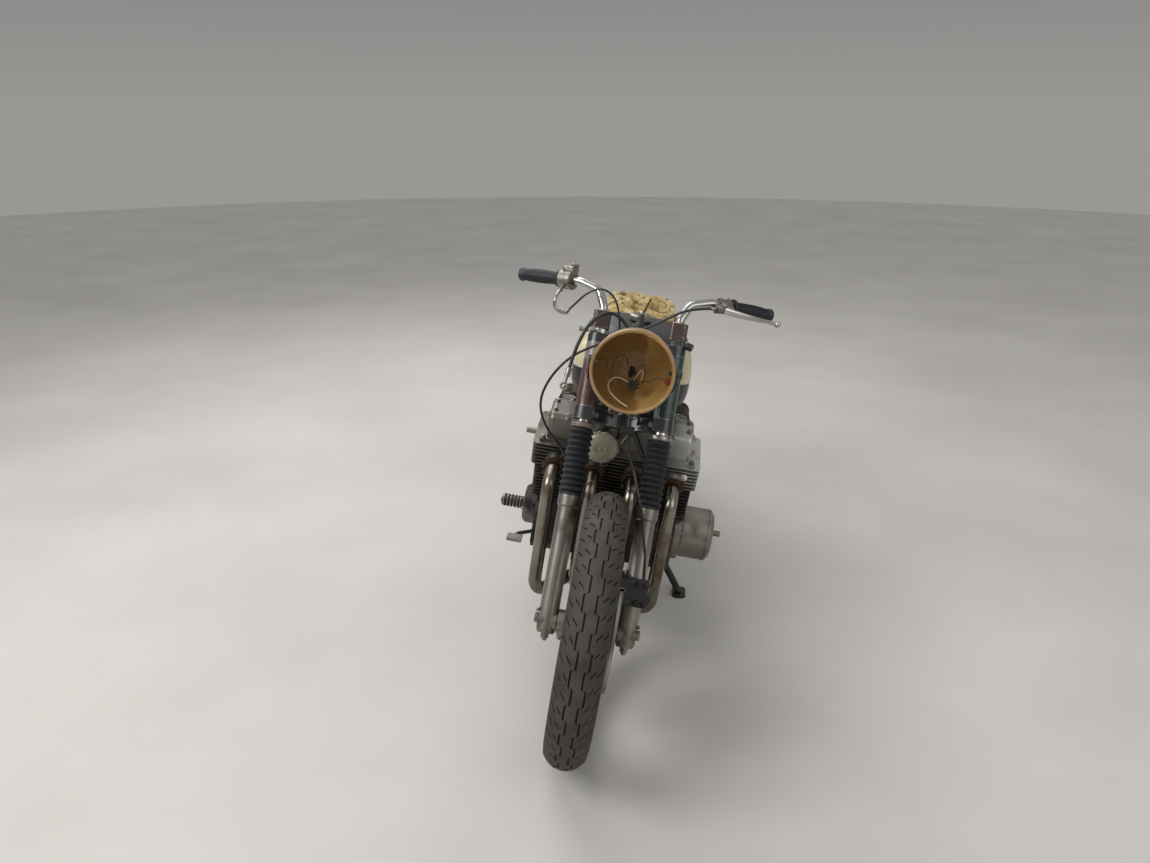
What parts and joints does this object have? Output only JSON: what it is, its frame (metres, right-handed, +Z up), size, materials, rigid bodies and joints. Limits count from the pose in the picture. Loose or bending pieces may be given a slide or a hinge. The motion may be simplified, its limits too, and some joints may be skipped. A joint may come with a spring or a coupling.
{
  "type": "cafe racer motorcycle",
  "caption": "Stripped four-cylinder road motorcycle with clamped bars, an empty lamp bucket and a bare foam pad, leaning on its side stand.",
  "frame": {"origin": "bottom centre of the box of the machine as it leans on its side stand", "axes": "+Z up, the machine faces -Y, the rider's left is +X; it leans 8.5 degrees to +X"},
  "size_m": [0.803, 2.1128, 1.1165],
  "materials": {
    "rubber": "matt, dusty",
    "tyre_rubber": "dusty",
    "chrome": "polished with brown tarnish",
    "alloy": "dull, weathered",
    "steel": "worn",
    "black_paint": "satin",
    "tank_paint": "gloss black with cream sides",
    "maroon_paint": "satin",
    "green_paint": "worn",
    "amber_steel": "stained",
    "foam": "bare foam",
    "cable_plastic": "sheath",
    "lamp_plastic": "red lens"
  },
  "bodies": {
    "chassis": {"frame_spine": "black_paint", "frame_left": "black_paint", "frame_right": "black_paint", "seat_frame": "black_paint", "swingarm": "black_paint", "rear_axle": "steel", "rear_brake_plate": "alloy", "drive_chain": "steel", "rear_shocks": "chrome", "crankcase": "alloy", "cylinder_block": "alloy", "cylinder_head": "alloy", "rocker_cover": "alloy", "engine_covers_left": "alloy", "engine_covers_right": "alloy", "carburettors": "alloy", "air_filters": "black_paint", "exhaust_headers": "chrome", "exhaust_silencer": "black_paint", "fuel_tank": "tank_paint", "fuel_cap": "steel", "battery_box": "black_paint", "tail_lamp": "lamp_plastic", "horn": "steel", "foot_levers": "steel", "seat_foam": "foam", "seat_pan": "black_paint", "rear_mudguard": "chrome", "footpegs": "steel"},
    "front_fork": {"fork_sliders": "alloy", "fork_tubes": "chrome", "fork_gaiters": "rubber", "lower_yoke": "black_paint", "upper_yoke": "black_paint", "fork_shrouds": "green_paint", "headlamp_shell": "amber_steel", "bar_clamps": "maroon_paint", "handlebars": "chrome", "grips": "rubber", "throttle_housing": "alloy", "clutch_lever": "alloy", "brake_caliper": "black_paint", "brake_pipe": "steel", "front_axle": "steel", "clutch_cable": "cable_plastic", "throttle_cable": "cable_plastic", "brake_hose": "cable_plastic", "hose_fitting": "steel"},
    "front_wheel": {"front_tyre": "tyre_rubber", "front_rim_spokes": "chrome", "front_hub": "alloy", "brake_disc": "steel"},
    "rear_wheel": {"rear_tyre": "tyre_rubber", "rear_rim_spokes": "chrome", "rear_hub": "alloy", "rear_sprocket": "steel"},
    "side_stand": {"side_stand": "steel"}
  },
  "joints": [
    {"name": "steering", "type": "hinge", "parent": "chassis", "child": "front_fork", "pos_m": [0.01613, -0.39457, 0.82725], "axis": [0.1317, 0.454, 0.8812], "range_deg": [-30, 30], "deforming": ["clutch_cable", "throttle_cable"]},
    {"name": "front_wheel_spin", "type": "hinge", "parent": "front_fork", "child": "front_wheel", "pos_m": [-0.05848, -0.7255, 0.32802], "axis": [0.989, 0, -0.1478], "continuous": true},
    {"name": "rear_wheel_spin", "type": "hinge", "parent": "chassis", "child": "rear_wheel", "pos_m": [-0.05907, 0.7295, 0.32406], "axis": [0.989, 0, -0.1478], "continuous": true},
    {"name": "side_stand_fold", "type": "hinge", "parent": "chassis", "child": "side_stand", "pos_m": [0.0742, 0.0425, 0.20101], "axis": [0.8834, 0, 0.4687], "range_deg": [0, 98]}
  ]
}
